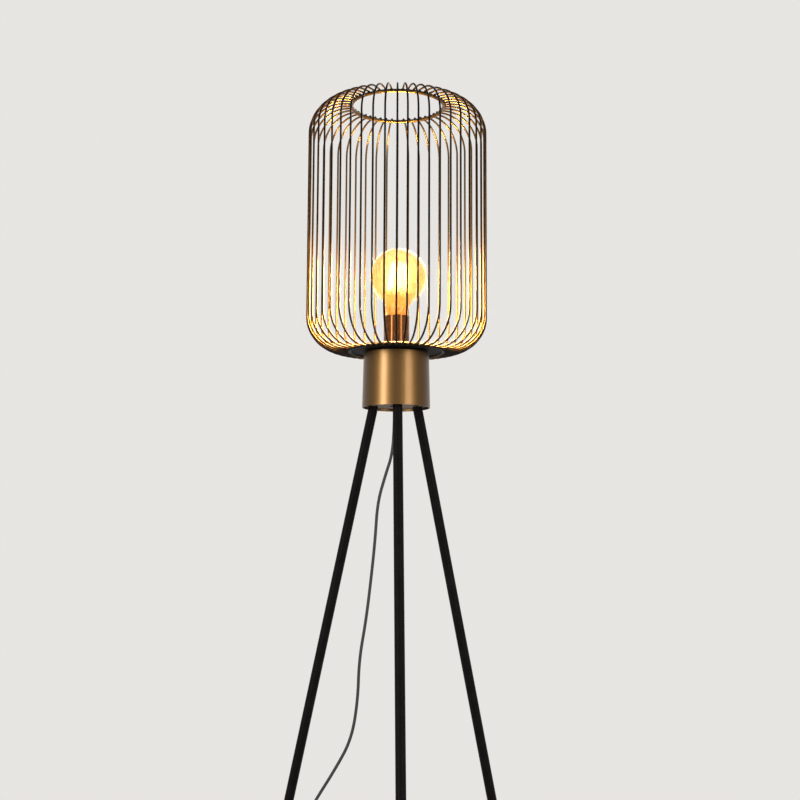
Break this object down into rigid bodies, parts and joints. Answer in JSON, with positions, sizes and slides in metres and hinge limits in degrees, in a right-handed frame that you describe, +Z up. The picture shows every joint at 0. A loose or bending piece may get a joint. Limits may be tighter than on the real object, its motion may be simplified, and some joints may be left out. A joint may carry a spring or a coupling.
{
  "type": "wire cage floor lamp",
  "caption": "Tripod floor lamp with an open drum cage of bent wires round a globe bulb, a brass hub, a cord with a foot switch and a plug.",
  "frame": {"origin": "on the floor, under the lamp's axis", "axes": "+Z up along the lamp's axis, -Y towards the front leg's side, +X to the right as seen from the front"},
  "size_m": [0.4934, 0.4435, 1.5002],
  "materials": {
    "cage_paint": "satin black outside, metallic gold inside",
    "black_paint": "satin black powder coat",
    "hub_brass": "satin brushed brass",
    "holder_gold": "glossy gold plate",
    "steel": "zinc plated",
    "brass": "plain brass",
    "insulator": "black moulded insulator",
    "amber_glass": "clear amber glass",
    "clear_glass": "clear glass",
    "cap_metal": "bright rolled cap",
    "filament": "lit amber filament coating",
    "cord_black": "black cord sheath",
    "plastic_black": "black moulded plastic",
    "rubber": "matte black rubber"
  },
  "bodies": {
    "lamp": {"top_ring": "cage_paint", "bottom_ring": "cage_paint", "base_disc": "cage_paint", "cage_wires_1": "cage_paint", "cage_wires_2": "cage_paint", "cage_wires_3": "cage_paint", "cage_wires_4": "cage_paint", "cage_wires_5": "cage_paint", "cage_wires_6": "cage_paint", "hub_cup": "hub_brass", "hub_bottom_plate": "hub_brass", "spacer_disc": "black_paint", "hub_bracket_ring": "steel", "plate_screws": "steel", "leg_inserts": "steel", "leg_bolts": "steel", "nipple": "steel", "lock_washer": "steel", "nipple_nut_lower": "steel", "nipple_nut_upper": "steel", "holder_sleeve": "holder_gold", "holder_insulator": "insulator", "terminal_screws": "brass", "holder_shell": "brass", "holder_centre_contact": "brass", "cord_bushing": "plastic_black", "cord_inside_hub": "cord_black", "terminal_block": "insulator", "inner_leads": "cord_black", "cord_drop": "cord_black", "cord_to_coil": "cord_black", "cord_coil": "cord_black", "cord_to_plug": "cord_black", "switch_base": "plastic_black", "switch_cover": "plastic_black", "switch_spring": "steel", "switch_contact_block": "insulator", "switch_screws": "steel", "switch_reliefs": "cord_black", "plug_body": "plastic_black", "plug_pins": "brass", "plug_relief": "cord_black", "leg_tube_front": "black_paint", "leg_socket_front": "steel", "foot_cap_front": "rubber", "leg_tube_right": "black_paint", "leg_socket_right": "steel", "foot_cap_right": "rubber", "leg_tube_left": "black_paint", "leg_socket_left": "steel", "foot_cap_left": "rubber"},
    "bulb_lift": {"bulb_eyelet": "brass"},
    "bulb": {"bulb_glass": "amber_glass", "bulb_cap": "cap_metal", "bulb_cap_insulator": "insulator", "bulb_stem": "clear_glass", "filament_supports": "steel", "filaments": "filament"},
    "foot_button": {"switch_button": "plastic_black"}
  },
  "joints": [
    {"name": "bulb_rise", "type": "slide", "parent": "lamp", "child": "bulb_lift", "axis": [0, 0, 1], "range_m": [0, 0.0146]},
    {"name": "bulb_turn", "type": "hinge", "parent": "bulb_lift", "child": "bulb", "pos_m": [0, 0, 1.12], "axis": [0, 0, 1], "range_deg": [0, 1440]},
    {"name": "switch_press", "type": "slide", "parent": "lamp", "child": "foot_button", "axis": [0, 0, -1], "range_m": [0, 0.003], "stiffness_N_per_m": 500, "springref_m": -0.003, "deforming": ["switch_spring"]}
  ],
  "couplings": [
    {"joint": "bulb_rise", "follows": "bulb_turn", "m_per_rad": 0.00057757}
  ]
}
